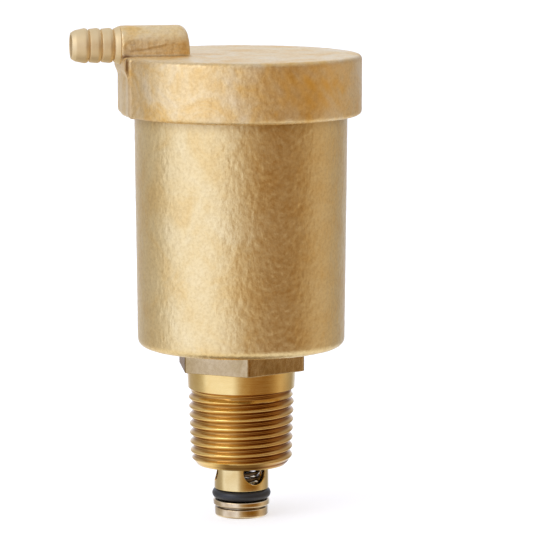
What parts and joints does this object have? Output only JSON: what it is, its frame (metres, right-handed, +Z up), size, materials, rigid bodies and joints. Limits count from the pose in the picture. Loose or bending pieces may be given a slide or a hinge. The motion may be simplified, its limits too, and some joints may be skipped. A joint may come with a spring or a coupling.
{
  "type": "automatic air vent",
  "caption": "Float-operated automatic air vent: brass float chamber with hexagon and taper thread, screw cap with a side hose barb, and a sprung shut-off sleeve below the thread.",
  "frame": {"origin": "on the vent's axis at the underside of the hexagon, where the inlet thread's neck starts", "axes": "+Z up along the vent's axis; the hose outlet points along -X"},
  "size_m": [0.0583, 0.0484, 0.0995],
  "materials": {
    "cast_brass": "sand-cast and blasted, finely pebbled, satin",
    "turned_brass": "turned, bright",
    "pale_brass": "turned, pale, fine lathe lines",
    "black_rubber": "smooth moulded rubber",
    "red_fibre": "matt pressed fibre",
    "stainless_steel": "drawn wire and pressed sheet, bright",
    "white_plastic": "moulded polypropylene",
    "black_plastic": "moulded acetal"
  },
  "bodies": {
    "housing": {"vent_body": "cast_brass", "cap": "cast_brass", "hose_nipple": "turned_brass", "cap_gasket": "black_rubber", "valve_seat": "turned_brass", "seat_gasket": "red_fibre", "lever_bracket": "stainless_steel", "lever_pivot_pin": "stainless_steel", "pivot_pin_clip": "stainless_steel", "spring_bridge": "turned_brass", "bridge_snap_ring": "stainless_steel"},
    "float": {"float_shell": "white_plastic", "float_lid": "white_plastic", "float_clevis": "stainless_steel", "float_pin": "stainless_steel"},
    "lever": {"valve_lever": "black_plastic", "valve_seal": "black_rubber"},
    "sleeve": {"shutoff_plunger": "pale_brass", "shutoff_o_ring": "black_rubber", "plunger_retainer": "pale_brass", "shutoff_spring": "stainless_steel"}
  },
  "joints": [
    {"name": "float_lift", "type": "slide", "parent": "housing", "child": "float", "axis": [0, 0, 1], "range_m": [0, 0.0036]},
    {"name": "lever_swing", "type": "hinge", "parent": "housing", "child": "lever", "pos_m": [-0.0162, 0, 0.05365], "axis": [0, -1, 0], "range_deg": [0, 12.9]},
    {"name": "shutoff_push", "type": "slide", "parent": "housing", "child": "sleeve", "axis": [0, 0, 1], "range_m": [0, 0.0061], "stiffness_N_per_m": 300, "springref_m": -0.005, "deforming": ["shutoff_spring"]}
  ],
  "couplings": [
    {"joint": "lever_swing", "follows": "float_lift", "rad_per_m": 62.5}
  ]
}
